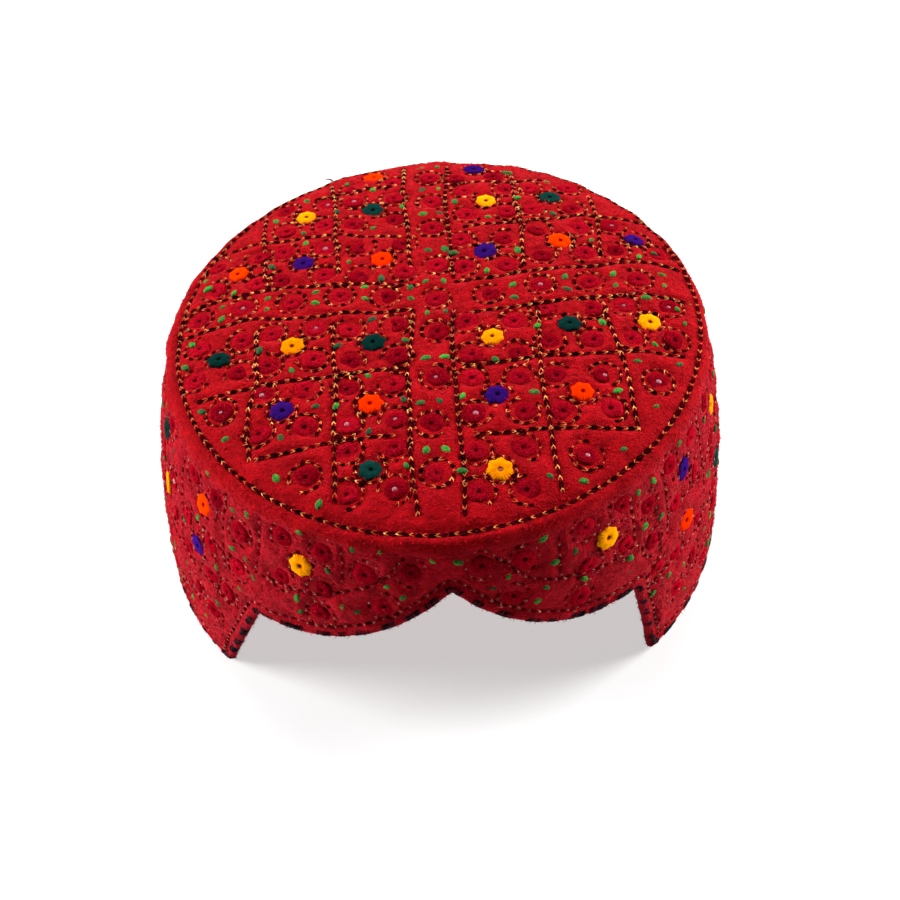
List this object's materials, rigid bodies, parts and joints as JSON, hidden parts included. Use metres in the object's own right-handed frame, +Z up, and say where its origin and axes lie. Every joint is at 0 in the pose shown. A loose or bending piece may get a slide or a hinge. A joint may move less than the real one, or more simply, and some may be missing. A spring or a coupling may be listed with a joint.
{
  "type": "balochi cap",
  "caption": "Round embroidered cap: low domed crown on a flared hollow side band, cut away over the forehead in two scallops between pointed tabs, with a bound lower edge.",
  "frame": {"origin": "on the ground under the middle of the cap's outer size, the cap standing on its own lower edge", "axes": "+Z up, the front with the forehead cut-out faces -Y, +X to the right in the picture"},
  "size_m": [0.1849, 0.187, 0.0889],
  "materials": {
    "crown_cloth": "brushed red cotton, quilted by its embroidery",
    "band_cloth": "brushed red cotton, quilted by its embroidery",
    "binding_cloth": "red cotton edge oversewn with slate thread",
    "dark_thread": "dark twisted chain stitch thread",
    "gold_thread": "pale gold silk chain stitch thread",
    "maroon_thread": "maroon silk buttonhole stitch",
    "yellow_thread": "yellow silk buttonhole stitch",
    "orange_thread": "orange silk buttonhole stitch",
    "purple_thread": "purple silk buttonhole stitch",
    "dark_green_thread": "dark green silk buttonhole stitch",
    "green_thread": "leaf green satin stitch",
    "slate_thread": "slate oversewing thread",
    "small_mirror": "tiny mirror discs held by the rosettes"
  },
  "bodies": {
    "root": {"crown": "crown_cloth", "side_band": "band_cloth", "edge_binding": "binding_cloth"}
  },
  "joints": []
}
